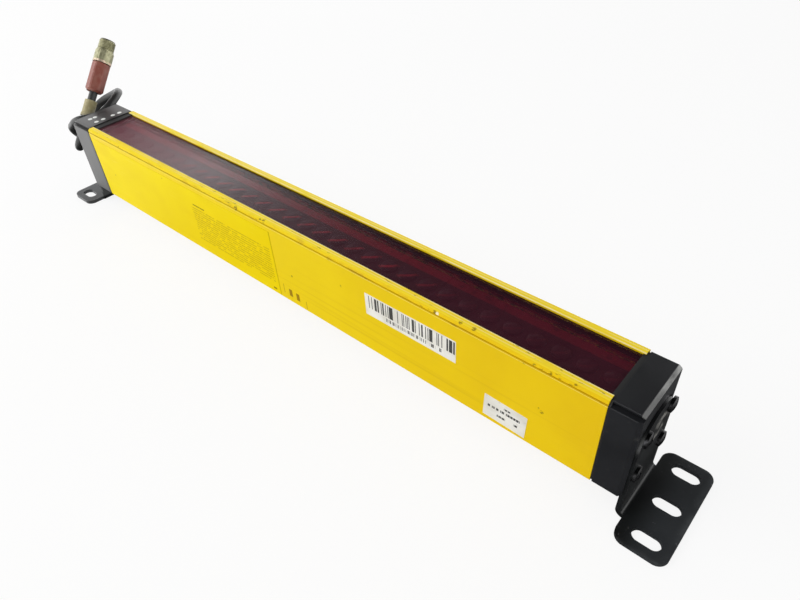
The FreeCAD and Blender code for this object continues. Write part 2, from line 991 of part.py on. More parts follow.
def pin_places():
    radius = pin_circle / 2
    step = 2 * math.pi / (pin_count + 1)
    ring = [(radius * math.cos((i + 1) * step), radius * math.sin((i + 1) * step))
            for i in range(pin_count)]
    return [(0.0, 0.0)] + ring


def contact_pins():
    pins = []
    for x, y in pin_places():
        pin = Part.makeCylinder(pin_diameter / 2, pin_root + pin_reach, V(x, y, insert_front() - pin_root))
        pins.append(stood_on(pin, along_connector(nut_base()), connector_axis()))
    return Part.makeCompound(pins)


# Labels

def side_plate(x_start, x_end, z_start, z_end):
    return block(x_start, x_end, -side_y - label_thickness, -side_y, z_start, z_end)


def side_label():
    return side_plate(extrusion_start + label_end_gap, label_cut, label_floor, body_height - label_drop)


def barcode_sticker():
    return side_plate(barcode_from_centre - barcode_length / 2, barcode_from_centre + barcode_length / 2,
                      barcode_middle_height - barcode_height / 2,
                      barcode_middle_height + barcode_height / 2)


def small_sticker():
    x = small_sticker_from_centre
    z = small_sticker_middle_height
    plate = side_plate(x - small_sticker_length / 2, x + small_sticker_length / 2,
                       z - small_sticker_height / 2, z + small_sticker_height / 2)
    plate.rotate(on_section(-side_y, z, x), V(0, -1, 0), small_sticker_tilt)
    return plate


def build():
    far_seal_end = extrusion_start + far_seal_length
    nodes = {
        "housing_extrusion": housing_extrusion(),
        "front_window": front_window(),
        "window_seal_far": window_seal(extrusion_start, far_seal_end),
        "window_seal_near": window_seal(extrusion_end - near_seal_length, extrusion_end),
        "gasket_far": gasket(far_joint),
        "gasket_near": gasket(near_joint),
        "control_board": circuit_board(control_span()),
        "control_parts": control_parts(),
        "driver_board": circuit_board(driver_span()),
        "driver_parts": driver_parts(),
        "end_cap_near": end_cap(near_cap_length),
        "end_cap_far": far_end_cap(),
        "light_pipes": light_pipes(),
        "indicator_board": indicator_board(),
        "indicator_lamps": indicator_lamps(),
        "bracket_near": mounting_bracket(),
        "bracket_far": outlet_bracket(),
        "screws_near": cap_screws(near_cap_length),
        "screws_far": at_far_end(cap_screws(far_cap_length)),
        "gland_body": gland_body(),
        "gland_dome": gland_dome(),
        "gland_locknut": gland_locknut(),
        "inner_leads": inner_leads(),
        "cable": cable(),
        "marker_sleeve": marker_sleeve(),
        "connector_grip": connector_grip(),
        "connector_insert": connector_insert(),
        "connector_seal": connector_seal(),
        "contact_pins": contact_pins(),
        "coupling_nut": coupling_nut(),
        "side_label": side_label(),
        "barcode_sticker": barcode_sticker(),
        "small_sticker": small_sticker(),
    }
    for index in range(module_count):
        number = index + 1
        nodes[f"optic_carrier_{number}"] = optic_carrier(index)
        nodes[f"lens_strip_{number}"] = lens_strip(index)
        nodes[f"element_board_{number}"] = element_board(index)
        nodes[f"beam_elements_{number}"] = beam_elements(index)
    return nodes


def main():
    os.makedirs("parts", exist_ok=True)
    for name, shape in build().items():
        print(name, len(shape.Solids), shape.isValid(), round(shape.Volume, 1))
        shape.exportStep(f"parts/{name}.step")


main()
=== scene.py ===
"""Dresses the light curtain: finishes, printed marks, cable, connector details and the studio."""
import math
import bmesh
import bpy
from mathutils import Matrix, Vector


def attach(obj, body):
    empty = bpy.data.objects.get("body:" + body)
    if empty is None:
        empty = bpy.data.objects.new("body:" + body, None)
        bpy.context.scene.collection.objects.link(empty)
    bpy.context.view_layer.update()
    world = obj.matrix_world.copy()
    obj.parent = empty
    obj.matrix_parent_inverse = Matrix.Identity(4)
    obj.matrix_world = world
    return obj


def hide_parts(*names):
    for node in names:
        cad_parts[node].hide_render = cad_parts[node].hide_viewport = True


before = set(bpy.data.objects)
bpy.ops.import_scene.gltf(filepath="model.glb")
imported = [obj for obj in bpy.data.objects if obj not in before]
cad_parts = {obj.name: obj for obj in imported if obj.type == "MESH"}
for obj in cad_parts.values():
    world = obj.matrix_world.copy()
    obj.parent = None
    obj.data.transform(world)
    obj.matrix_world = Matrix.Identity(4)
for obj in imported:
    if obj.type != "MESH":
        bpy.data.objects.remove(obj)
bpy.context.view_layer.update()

MM = 0.001

# Places and sizes that repeat the part's source, in millimetres.
CAP_END = 220.15
FAR_JOINT = -198.55
BACK_FACE = 15.5
BODY_TOP = 69.3
SIDE = 19.25
LIP_EDGE = 14.4
LIP_STEP = 2.5
LIP_THICKNESS = 1.25
INNER_SIDE = 17.6
CHAMBER_FLOOR = 17.0
CABLE_DIAMETER = 6.0
CABLE_ROUTE = [
    (7.5, 0.0, 24.25),
    (15.6, 0.0, 24.25),
    (23.4, -0.2, 24.4),
    (30.2, -1.5, 24.5),
    (37.2, -5.0, 27.2),
    (37.2, -7.8, 32.8),
    (31.4, -9.2, 37.4),
    (23.8, -10.4, 41.4),
    (16.4, -11.8, 45.6),
    (9.9, -10.4, 48.8),
    (6.7, -4.2, 48.6),
    (6.4, 5.0, 47.6),
    (7.4, 16.6, 52.4),
    (13.6, 26.8, 55.2),
    (25.2, 33.6, 52.2),
    (37.0, 33.0, 46.6),
    (45.3, 26.6, 41.8),
    (48.0, 16.0, 35.3),
    (46.6, 6.0, 26.4),
    (39.0, -4.0, 20.0),
    (26.8, -11.4, 21.0),
    (17.5, -15.4, 26.6),
    (12.9, -14.6, 32.6),
    (12.3, -9.9, 38.7),
    (13.7, -5.3, 43.7),
]
PLUG_BASE = Vector((-233.85, -5.3, 59.2)) * MM
PLUG_AXIS = Vector((-0.194, 0.679, 0.708)).normalized()
LAST_RUN = 27.2
LENS_PITCH = 12.7
MODULES = 4

# The coupling nut, in millimetres along the connector's axis from its base. A share is of the
# size before it, of the pitch, or of the ring's radius for the flutes' depth.
NUT_START = 47.1
NUT_SEAT = 54.5
NUT_END = 65.2
NUT_RING_RADIUS = 6.7
NUT_SHOULDER_RADIUS = 6.15
NUT_THREAD_RADIUS = 5.9
NUT_BORE_RADIUS = 5.1
NUT_NECK_RADIUS = 4.55
NUT_FOOT_SHARE = 0.9
NUT_RING_LENGTH = 8.8
NUT_ROUND_LENGTH = 0.5
NUT_ROUND_SHARE = 0.94
NUT_SHOULDER_LENGTH = 0.8
NUT_RUNOUT_LENGTH = 0.3
NUT_TIP_LENGTH = 0.5
NUT_TIP_SHARE = 0.95
THREAD_DEPTH = 0.45
THREAD_TURNS = 7
FLANK_SHARE = 0.4
CREST_SHARE = 0.2
FLUTES = 12
FLUTE_EDGES = 8
FLUTE_SHARE = 0.02
CREASE_ANGLE = 30

# Chips in the paint: place and radius, in millimetres. Their ragged edge takes some off again.
CHIP_GROWTH = 1.6
CHIPS = [
    (119.6, -18.9, 68.2, 0.6),
    (134.0, -17.9, 69.2, 0.6),
    (141.2, -17.6, 69.3, 0.7),
    (173.4, -19.2, 67.9, 0.5),
    (176.6, -19.2, 67.9, 0.5),
    (181.0, -19.2, 67.9, 0.6),
    (185.3, -19.2, 67.9, 0.5),
    (192.7, -18.9, 68.5, 0.45),
    (-28.6, -19.0, 68.0, 0.9),
    (-3.8, -18.8, 68.6, 0.8),
    (-6.6, -18.8, 68.6, 0.6),
    (178.0, -19.25, 43.8, 0.35),
    (180.0, -19.25, 42.2, 0.6),
    (14.0, -19.25, 38.0, 0.4),
    (56.0, -19.25, 52.0, 0.4),
]

# The centre of the plain arc on the far cap's top, and that of the painted highlight crescent in
# each lens, along from the lens's middle and across the curtain, in millimetres. Last, the
# crescent's way.
ARC_CENTRE = (-213.3, 1.4)
CRESCENT_CENTRE = (-3.1, 3.7)
CRESCENT_WAY = (0.577, -0.817)

# The photograph's view, fitted to the curtain's edges: lens and place in millimetres.
LENS = 29.06
EYE = Vector((260.4, -192.1, 269.5))
RIGHT = Vector((0.756, 0.6529, -0.0466))
AHEAD = Vector((-0.5171, 0.5521, -0.6541))

# The studio: the room's light, the light that mirrors in the curtain by how steeply it comes,
# how far the floor shows a white of its own, and half the floor's width in metres.
ROOM_LIGHT = 0.55
MIRROR_HEIGHT = (0.34, 0.6)
MIRROR_LIGHT = (2.1, 0.04)
FLOOR_GLOW = 0.86
FLOOR_REACH = 4.0
WHITE = (1, 1, 1, 1)

# Lamps: place in metres, power in watts, width in metres.
LAMPS = {
    "key": ((-0.85, -0.9, 0.95), 12.5, 1.2),
    "fill": ((1.0, -0.35, 0.5), 0.9, 0.9),
    "rim": ((-1.0, 0.9, 0.35), 2.0, 0.8),
}


def tone(code):
    """A colour written as six hexadecimal digits, in linear light."""
    parts = [int(code[i:i + 2], 16) / 255 for i in (0, 2, 4)]
    linear = [p / 12.92 if p <= 0.04045 else ((p + 0.055) / 1.055) ** 2.4 for p in parts]
    return (*linear, 1.0)


class Value:
    """A number that varies over a surface. Arithmetic on it adds Math nodes to its tree."""

    def __init__(self, nodes, socket):
        self.nodes = nodes
        self.socket = socket

    def __add__(self, other):
        return self.nodes.maths("ADD", self, other)

    __radd__ = __add__

    def __sub__(self, other):
        return self.nodes.maths("SUBTRACT", self, other)

    def __rsub__(self, other):
        return self.nodes.maths("SUBTRACT", other, self)

    def __mul__(self, other):
        return self.nodes.maths("MULTIPLY", self, other)

    __rmul__ = __mul__

    def __truediv__(self, other):
        return self.nodes.maths("DIVIDE", self, other)

    def __rtruediv__(self, other):
        return self.nodes.maths("DIVIDE", other, self)

    def __gt__(self, other):
        return self.nodes.maths("GREATER_THAN", self, other)

    def __lt__(self, other):
        return self.nodes.maths("LESS_THAN", self, other)

    def floor(self):
        return self.nodes.maths("FLOOR", self)

    def fraction(self):
        return self.nodes.maths("FRACT", self)

    def size(self):
        return self.nodes.maths("ABSOLUTE", self)

    def most(self, other):
        return self.nodes.maths("MAXIMUM", self, other)

    def reach(self, across):
        """Distance from a centre, of a place given by this offset and another across it."""
        return self.nodes.maths("SQRT", self * self + across * across)

    def ease(self, low, high):
        """0 below low, 1 above high, smooth between them."""
        node = self.nodes.node("ShaderNodeMapRange", {"interpolation_type": "SMOOTHSTEP"}, {
            "Value": self, "From Min": low, "From Max": high})
        return Value(self.nodes, node.outputs["Result"])

    def rise(self, low, high):
        """The same with its limits in millimetres."""
        return self.ease(low * MM, high * MM)

    def fall(self, low, high):
        """1 below low and 0 above high, in millimetres."""
        return 1 - self.rise(low, high)

    def band(self, low, high):
        """1 from low to high, in millimetres, and 0 outside."""
        return (self > low * MM) * (self < high * MM)


class Nodes:
    """A tree of nodes, and the one method that makes them."""

    def __init__(self, owner):
        owner.use_nodes = True
        self.tree = owner.node_tree

    def node(self, kind, settings=None, sockets=None):
        """Any node: its settings first, then the values or links of its sockets."""
        made = self.tree.nodes.new(kind)
        for key, value in (settings or {}).items():
            setattr(made, key, value)
        for key, value in (sockets or {}).items():
            if isinstance(value, Value):
                self.tree.links.new(value.socket, made.inputs[key])
            elif isinstance(value, bpy.types.NodeSocket):
                self.tree.links.new(value, made.inputs[key])
            else:
                made.inputs[key].default_value = value
        return made

    def maths(self, operation, *terms):
        node = self.node("ShaderNodeMath", {"operation": operation}, dict(enumerate(terms)))
        return Value(self, node.outputs[0])

    def mix(self, factor, first, second):
        """The shader first where factor is 0, and second where it is 1."""
        return self.node("ShaderNodeMixShader", None, {
            0: factor, 1: first.outputs[0], 2: second.outputs[0]})

    def show(self, shader, output):
        self.tree.links.new(shader.outputs[0], self.tree.nodes[output].inputs["Surface"])


class Finish(Nodes):
    """One material: its shader, and the nodes that feed it."""

    def __init__(self, name, **fixed):
        self.material = bpy.data.materials.new(name)
        super().__init__(self.material)
        self.shader = self.tree.nodes["Principled BSDF"]
        for socket, value in fixed.items():
            self.shader.inputs[socket.replace("_", " ")].default_value = value
        self.place = self.node("ShaderNodeTexCoord").outputs["Object"]
        axes = self.node("ShaderNodeSeparateXYZ", None, {"Vector": self.place})
        self.x, self.y, self.z = (Value(self, axes.outputs[i]) for i in range(3))

    def mapped(self, stretch, shift):
        node = self.node("ShaderNodeMapping", None, {
            "Vector": self.place, "Scale": stretch, "Location": shift})
        return node.outputs["Vector"]

    def noise(self, scale, detail=2.0, stretch=(1, 1, 1), shift=(0, 0, 0)):
        """Cloudy noise of about scale lumps a metre, from 0 to 1."""
        node = self.node("ShaderNodeTexNoise", None, {
            "Vector": self.mapped(stretch, shift), "Scale": scale, "Detail": detail})
        return Value(self, node.outputs[0])

    def cells(self, scale):
        """Distance to the nearest of many scattered points."""
        node = self.node("ShaderNodeTexVoronoi", None, {"Vector": self.place, "Scale": scale})
        return Value(self, node.outputs["Distance"])

    def dice(self, *numbers):
        """A chance value from 0 to 1 that stays the same for the same whole numbers."""
        place = self.node("ShaderNodeCombineXYZ", None, dict(enumerate(numbers)))
        node = self.node("ShaderNodeTexWhiteNoise", None, {"Vector": place.outputs[0]})
        return Value(self, node.outputs["Value"])

    def field(self, x0, x1, z0, z1):
        """1 inside a rectangle of the side face, given in millimetres."""
        return self.x.band(x0, x1) * self.z.band(z0, z1)

    def spot(self, x, y, z, radius, soft):
        """1 inside a ball about a point, in millimetres, with a soft edge."""
        offset = self.node("ShaderNodeVectorMath", {"operation": "DISTANCE"}, {
            0: self.place, 1: (x * MM, y * MM, z * MM)})
        return Value(self, offset.outputs["Value"]).fall(radius - soft, radius + soft)

    def blend(self, mask, under, over):
        """The colour over where mask is 1, and under where it is 0. Either may be a code."""
        under, over = (tone(c) if isinstance(c, str) else c for c in (under, over))
        node = self.node("ShaderNodeMix", {"data_type": "RGBA"}, {0: mask, 6: under, 7: over})
        return node.outputs[2]

    def colour(self, value):
        self.tree.links.new(value, self.shader.inputs["Base Color"])

    def rough(self, value):
        self.tree.links.new(value.socket, self.shader.inputs["Roughness"])

    def bump(self, height, distance, strength=1.0):
        """height runs from 0 to 1, and distance is what 1 stands for, in millimetres."""
        node = self.node("ShaderNodeBump", None, {
            "Height": height, "Distance": distance * MM, "Strength": strength})
        self.tree.links.new(node.outputs["Normal"], self.shader.inputs["Normal"])


def yellow_paint():
    """Satin yellow coat: draw lines, scuffs and chips along the lip, painted highlights and shade
    on the lip's edges, and painted shade in the chamber inside.
    """
    f = Finish("yellow_paint", Specular_IOR_Level=0.1)
    cloud = f.noise(18, 3)
    lines = f.noise(420, 2, (0.012, 1, 1))
    base = f.blend(cloud.ease(0.35, 0.7), "ecc406", "f3ce05")
    base = f.blend(f.x.fall(-60, 230) * 0.6, base, "f2dc0a")
    base = f.blend(lines.ease(0.55, 0.8) * 0.3, base, "d2a703")
    top_edge = f.z.rise(BODY_TOP - 4.5, BODY_TOP - LIP_STEP)
    near_side = f.y.fall(-LIP_EDGE - 0.2, -LIP_EDGE + 0.2)
    worn_stretch = f.x.rise(-170, -60) * f.x.fall(60, 150)
    rubbed = top_edge * near_side * f.noise(320, 5, (0.3, 1, 1)).ease(0.5, 0.68)
    base = f.blend(rubbed * (0.12 + 0.3 * worn_stretch), base, "b4893c")
    # Painted highlight: the lip's top face is painted lighter, with thin pale lines along its
    # edges.
    lip = f.z.rise(BODY_TOP - 0.4, BODY_TOP - 0.2)
    lit_lines = f.y.size().band(14.2, 15.1).most(f.y.size().band(16.3, 16.8) * 0.6)
    bright = lit_lines * lip * f.noise(240, 3, (0.2, 1, 1)).ease(0.3, 0.55)
    base = f.blend(lip * 0.6, base, "ffe638")
    base = f.blend(bright * 0.75, base, "fff0b0")
    # Painted shade: the groove below the lip is painted darker.
    groove_shade = f.z.band(BODY_TOP - 2.9, BODY_TOP - 2.45) * near_side
    base = f.blend(groove_shade * 0.3, base, "8a6208")
    # Painted highlight: the ridge beside the groove is painted lighter.
    ridge_highlight = f.z.band(BODY_TOP - 3.35, BODY_TOP - 2.95) * near_side
    base = f.blend(ridge_highlight * 0.5, base, "ffec80")
    nicks = top_edge * near_side * f.noise(700, 3, (0.3, 1, 1), (5, 0, 0)).ease(0.66, 0.7)
    base = f.blend(nicks * 0.55, base, "6a4c18")
    near_face = f.y < -(SIDE - 0.05) * MM
    low = BACK_FACE
    first_bar = f.field(8.4, 11.2, low + 5.0, low + 10.4)
    second_bar = f.field(14.6, 17.4, low + 4.6, low + 10.0)
    left_line = f.field(3.6, 4.2, low + 5.2, low + 12.0)
    right_line = f.field(22.8, 23.4, low + 1.8, low + 7.8)
    mark = (first_bar.most(second_bar) * 0.75).most(left_line.most(right_line) * 0.5)
    base = f.blend(mark * near_face, base, "7a4608")
    ragged = f.noise(1300, 3, (0.35, 1, 1)).ease(0.42, 0.52)
    for *place, radius in CHIPS:
        chip = f.spot(*place, radius * CHIP_GROWTH, 0.35) * ragged
        base = f.blend(chip * 0.7, base, "46300e")
    base = f.blend(f.spot(121.2, -18.9, 68.0, 0.9, 0.3), base, "f6ecc8")
    dirt = f.noise(120, 5, (0.5, 1, 1), (3, 1, 2)).ease(0.66, 0.85)
    base = f.blend(dirt * 0.22, base, "a8842a")
    # Painted shade: the chamber inside the housing is painted near black.
    chamber = f.z.band(CHAMBER_FLOOR, BODY_TOP - LIP_THICKNESS)
    chamber = (f.y.size() < INNER_SIDE * MM) * chamber
    f.colour(f.blend(chamber, base, "121112"))
    f.rough(0.38 + 0.1 * cloud + 0.2 * rubbed)
    f.bump(0.7 * f.noise(2600, 2) + 0.3 * lines, 0.02, 0.4)
    return f.material


def dashes(f, x0, x1, rows, top, pitch, height, letter, filled, seed):
    """Rows of short marks with gaps, as fine as small print but standing for no words.

    The rows lie from x0 to x1 and down from top, pitch apart, with marks of this height and of
    letter's width, all in millimetres. filled is the share of the marks that are there.
    """
    inside = f.field(x0, x1, top - rows * pitch, top)
    down = (top * MM - f.z) / (pitch * MM)
    row = down.floor()
    line = down.fraction() < height / pitch
    mark = f.dice((f.x / (letter * MM)).floor(), row, seed) < filled
    word = f.dice((f.x / (letter * 5.3 * MM) + row * 0.37).floor(), row, seed + 7) < 0.9
    apart = (f.x / (letter * 2 * MM)).fraction() < 0.84
    return inside * line * mark * word * apart


def label_yellow():
    """Printed film: bright yellow field, fine print as plain dashes, a bare field for the name."""
    f = Finish("label_yellow", Specular_IOR_Level=0.03)
    cloud = f.noise(14, 3)
    base = f.blend(cloud.ease(0.35, 0.65), "efd404", "f5dd08")
    fade = f.noise(60, 4, (0.4, 1, 1)).ease(0.5, 0.75)
    base = f.blend(fade * 0.18, base, "e0bb06")
    low = BACK_FACE
    text = dashes(f, -79, -3, 14, low + 34.6, 1.85, 0.75, 0.5, 0.88, 3)
    heading = f.field(-77.5, -65.0, low + 36.3, low + 37.3) * f.noise(900, 2).ease(0.3, 0.5)
    border = f.x > -0.7 * MM
    corner = f.field(-6.5, -3.5, low + 3.4, low + 4.8)
    base = f.blend(text * (0.45 + 0.3 * f.noise(180, 3)), base, "9a7806")
    dark = heading.most(corner).most(border * 0.4)
    base = f.blend(dark * 0.75, base, "6e5208")
    scratch = f.noise(900, 1, (0.05, 1, 1)).ease(0.68, 0.72) * f.noise(35, 2).ease(0.5, 0.6)
    base = f.blend(scratch * 0.2, base, "ffec70")
    speck = (f.cells(70) < 0.035) * f.noise(40, 2).ease(0.45, 0.6)
    f.colour(f.blend(speck * 0.6, base, "6a4a08"))
    f.rough(0.3 + 0.14 * cloud)
    f.bump(f.noise(700, 3), 0.02, 0.4)
    return f.material


def sticker_white():
    """Paper stickers: plain bars on the long one, rows of plain dashes on the small one."""
    f = Finish("sticker_white", Specular_IOR_Level=0.35)
    paper = f.blend(f.noise(90, 4).ease(0.35, 0.75), "f2f1ec", "dcdad2")
    low = BACK_FACE
    across = (f.x / (0.5 * MM)).floor()
    bars = f.field(75.8, 132.3, low + 32.4, low + 40.6) * (f.dice(across, 1, 8) < 0.46)
    below = dashes(f, 88, 124, 1, low + 31.4, 3, 2.3, 0.42, 0.66, 21)
    below = below * ((f.x / (2.5 * MM)).fraction() < 0.74)
    first = dashes(f, 158, 166, 1, low + 15.0, 3, 1.1, 0.8, 0.75, 33)
    second = dashes(f, 152, 170, 1, low + 12.4, 3, 1.6, 0.8, 0.8, 34)
    third = dashes(f, 154, 169, 1, low + 8.0, 3, 1.4, 0.9, 0.8, 35)
    ink = bars.most(below).most(first.most(second).most(third))
    paper = f.blend(ink * (0.9 + 0.1 * f.noise(400, 2)), paper, "0a0908")
    dirt = f.noise(300, 4, shift=(2, 0, 1)).ease(0.62, 0.8)
    f.colour(f.blend(dirt * 0.35, paper, "8d8672"))
    f.rough(0.55 + 0.1 * f.noise(200, 2))
    f.bump(f.noise(1500, 3), 0.015, 0.5)
    return f.material


def window_filter():
    """Dark red filter sheet, glossy and half clear, rougher towards the far end, with a pale
    painted reflection there.
    """
    f = Finish("window_filter", IOR=2.0, Alpha=0.42)
    base = f.blend(f.noise(30, 3).ease(0.3, 0.7), "390f20", "411325")
    # Painted reflection: the far end is painted paler, as if it mirrored the white surroundings.
    far = f.x.fall(-180, -40)
    base = f.blend(far * 0.5, base, "a84e62")
    dust = f.noise(420, 5).ease(0.6, 0.85)
    f.colour(f.blend(dust * 0.08, base, "8a6a70"))
    f.rough(0.12 + 0.06 * f.noise(25, 3, (0.3, 1, 1)) + 0.3 * far)
    return f.material


def carrier_black():
    """Black lens carriers whose rim beside the margin is painted with the same red light."""
    f = Finish("carrier_black", Specular_IOR_Level=0.3)
    cloud = f.noise(260, 3)
    base = f.blend(cloud.ease(0.35, 0.7), "21161a", "2c1c22")
    # Painted light: the rim beside the lens margin is painted red, as lit through the window.
    f.colour(f.blend(f.y.band(12.8, 15.2) * cloud.ease(0.3, 0.6) * 0.8, base, "a02234"))
    f.rough(0.5 + 0.16 * cloud)
    f.bump(f.noise(1200, 3), 0.03, 0.5)
    return f.material


def moulded_black(name, low, high, roughness, grain_size=1500):
    """Moulded plastic or rubber in a near black, with a fine eggshell texture."""
    f = Finish(name, Specular_IOR_Level=0.45)
    cloud = f.noise(40, 4)
    base = f.blend(cloud.ease(0.35, 0.7), low, high)
    dust = f.noise(240, 5).ease(0.62, 0.85)
    f.colour(f.blend(dust * 0.1, base, "77746c"))
    f.rough(roughness + 0.16 * cloud + 0.12 * dust)
    f.bump(f.noise(grain_size, 3), 0.03, 0.6)
    return f.material


def cap_plastic():
    """Fine textured cap moulding, with a painted reflection on the bevel at one end and a plain
    arc at the other.
    """
    f = Finish("cap_plastic", Specular_IOR_Level=0.4)
    cloud = f.noise(45, 4)
    base = f.blend(cloud.ease(0.35, 0.7), "16171a", "1b1c1f")
    dust = f.noise(260, 5).ease(0.62, 0.85)
    base = f.blend(dust * 0.12, base, "85827a")
    base = f.blend(f.x.fall(-203, -200), base, "3c3c3c")
    # Painted reflection: the near end's bevel is painted pale in patches, paler towards the far
    # side.
    bevel = (f.x > (CAP_END + 0.2) * MM) * f.z.rise(67.2, 67.8)
    bevel_reflection = f.noise(170, 4, (1, 0.5, 1)).ease(0.15, 0.55) * (0.25 + 0.65 * f.y.rise(-10, 8))
    base = f.blend(bevel * bevel_reflection, base, "b4b5b2")
    reach = (f.x / MM - ARC_CENTRE[0]).reach(f.y / MM - ARC_CENTRE[1])
    arc = reach.ease(2.3, 2.7) * (1 - reach.ease(3.3, 3.7)) * (f.x < -212.9 * MM)
    f.colour(f.blend(arc * f.z.rise(69.0, 69.2), base, "060607"))
    f.rough(0.29 + 0.14 * cloud)
    f.bump(f.noise(2400, 3), 0.02, 0.5)
    return f.material


def bracket_black():
    """Black coated sheet steel, satin, with painted light on its open foot, a painted reflection
    in patches on its leg, and painted highlights on its rims.
    """
    f = Finish("bracket_black", Specular_IOR_Level=0.45)
    cloud = f.noise(55, 4)
    foot = f.z.fall(3.2, 4.2)
    base = f.blend(cloud.ease(0.35, 0.7), "0e1011", "141617")
    # Painted light: the foot beyond the bend, out of the leg's shade, is painted lighter.
    lit_foot = foot * f.x.size().rise(227, 240)
    base = f.blend(lit_foot * (0.5 + 0.5 * cloud), base, "323538")
    rub = f.noise(620, 4).ease(0.68, 0.74)
    base = f.blend(rub * 0.4, base, "6f7072")
    # Painted reflection: patches of the leg's face between the screws are painted pale.
    leg_reflection = f.z.band(38, 52) * f.y.band(-2, 13) * (f.x > CAP_END * MM)
    leg_reflection = leg_reflection * f.noise(240, 5).ease(0.42, 0.66)
    base = f.blend(leg_reflection * 0.75, base, "a4a29c")
    # Painted highlight: the foot's outer rims are painted lighter in patches.
    rim = f.x.size().rise(245.5, 249.5).most(f.y.size().rise(27.2, 29.0))
    rim_highlight = rim * foot * f.noise(90, 4).ease(0.3, 0.7)
    f.colour(f.blend(rim_highlight * 0.35, base, "5c5f61"))
    f.rough(0.26 + 0.14 * cloud)
    f.bump(f.noise(1500, 3), 0.015, 0.4)
    return f.material


def screw_steel():
    """Blackened screw heads, rubbed a little in patches."""
    f = Finish("screw_steel", Metallic=0.75)
    patch = f.noise(700, 3)
    f.colour(f.blend(patch.ease(0.45, 0.7), "141415", "3c3c3e"))
    f.rough(0.22 + 0.2 * patch)
    f.bump(f.noise(2500, 2), 0.02, 0.5)
    return f.material


def lens_red():
    """Dark red lens moulding: painted light on the flat margins, and a painted highlight crescent
    across each dark lens.
    """
    f = Finish("lens_red", IOR=1.49)
    cell = ((f.x - FAR_JOINT * MM) / (LENS_PITCH * MM)).fraction() * LENS_PITCH
    along = cell - LENS_PITCH / 2 - CRESCENT_CENTRE[0]
    across = f.y / MM - CRESCENT_CENTRE[1]
    reach = along.reach(across)
    facing = (along * CRESCENT_WAY[0] + across * CRESCENT_WAY[1]) / reach
    # Painted highlight: a crescent on each lens's rim.
    crescent_highlight = reach.ease(5.5, 6.5) * (1 - reach.ease(6.6, 7.9)) * facing.ease(0.4, 0.9)
    # How far along the painted light reaches: full mid-length, fading towards both ends.
    highlight_extent = f.x.rise(-165, -60) * (1 - 0.9 * f.x.rise(70, 125))
    # Painted light: the flat margins are painted brighter red than the lenses' dark middles.
    margin = f.y.rise(7.0, 8.4) * (0.55 + 0.45 * highlight_extent)
    spots = f.noise(260, 3, (0.7, 1, 1)).ease(0.5, 0.66)
    base = f.blend(margin, "662234", "d8283e")
    base = f.blend(crescent_highlight * highlight_extent, base, "f83c4c")
    f.colour(f.blend(spots * 0.45, base, "5c1826"))
    f.rough(0.35 + 0.15 * f.noise(200, 2))
    return f.material


def board_green():
    """Circuit board lacquer with darker tracks under it."""
    f = Finish("board_green", Coat_Weight=0.3, Coat_Roughness=0.15)
    tracks = (f.x / (1.27 * MM)).fraction() < 0.35
    f.colour(f.blend(tracks, "1d5a34", "2c7a48"))
    f.rough(0.4 + 0.1 * f.noise(300, 2))
    return f.material


def plain(name, low, high, roughness, grain_size=1500, depth=0.02, **fixed):
    """A finish of two close tones in soft clouds, with fine grain."""
    f = Finish(name, **fixed)
    cloud = f.noise(150, 4)
    f.colour(f.blend(cloud.ease(0.35, 0.7), low, high))
    f.rough(roughness + 0.12 * cloud)
    f.bump(f.noise(grain_size, 3), depth, 0.5)
    return f.material


def cable_black():
    """Black cable jacket, satin, dusty in patches."""
    f = Finish("cable_black", Specular_IOR_Level=0.5)
    cloud = f.noise(160, 4)
    base = f.blend(cloud.ease(0.35, 0.7), "1b1c1c", "2a2b2a")
    dust = f.noise(420, 5).ease(0.55, 0.85)
    f.colour(f.blend(dust * 0.3, base, "7b7a72"))
    f.rough(0.4 + 0.15 * cloud)
    f.bump(f.noise(1800, 3), 0.04, 0.6)
    return f.material


def sleeve_tan():
    """Aged marker sleeve, tan, paler towards its lower end."""
    f = Finish("sleeve_tan", Specular_IOR_Level=0.4)
    cloud = f.noise(260, 4)
    base = f.blend(cloud.ease(0.3, 0.7), "9a8f66", "b4ab84")
    f.colour(f.blend(f.z.fall(64.5, 67.5) * 0.8, base, "b1ac96"))
    f.rough(0.5 + 0.15 * cloud)
    f.bump(f.noise(1200, 3), 0.04, 0.6)
    return f.material


def grip_red():
    """Faded red grip of the connector, darker at its lower end."""
    f = Finish("grip_red", Specular_IOR_Level=0.45)
    cloud = f.noise(200, 4)
    base = f.blend(cloud.ease(0.3, 0.7), "8a4438", "945c4e")
    base = f.blend(f.z.fall(76.0, 83.0) * 0.4, base, "5c2f26")
    rub = f.noise(500, 4).ease(0.62, 0.75)
    f.colour(f.blend(rub * 0.35, base, "a08878"))
    f.rough(0.38 + 0.15 * cloud)
    f.bump(f.noise(1500, 3), 0.03, 0.5)
    return f.material


def nut_nickel():
    """Dull nickel with a yellow-green cast, pale at its lower rim and dark at its tip."""
    f = Finish("nut_nickel", Metallic=0.6)
    cloud = f.noise(420, 4)
    base = f.blend(cloud.ease(0.3, 0.7), "8e8c6e", "acaa8a")
    grime = f.noise(500, 4).ease(0.5, 0.72)
    base = f.blend(grime * 0.5, base, "6a6850")
    up = f.node("ShaderNodeVectorMath", {"operation": "DOT_PRODUCT"}, {0: f.place, 1: PLUG_AXIS})
    up = Value(f, up.outputs["Value"]) - PLUG_BASE.dot(PLUG_AXIS)
    rim = up.band(NUT_START - 1.3, NUT_START + 1.6)
    base = f.blend(rim * cloud.ease(0.3, 0.5) * 0.8, base, "e0c6b2")
    tip = up.rise(NUT_END - 1.4, NUT_END - 0.3)
    f.colour(f.blend(tip * 0.8, base, "3e3c30"))
    f.rough(0.3 + 0.2 * cloud)
    f.bump(f.noise(900, 3), 0.02, 0.5)
    return f.material


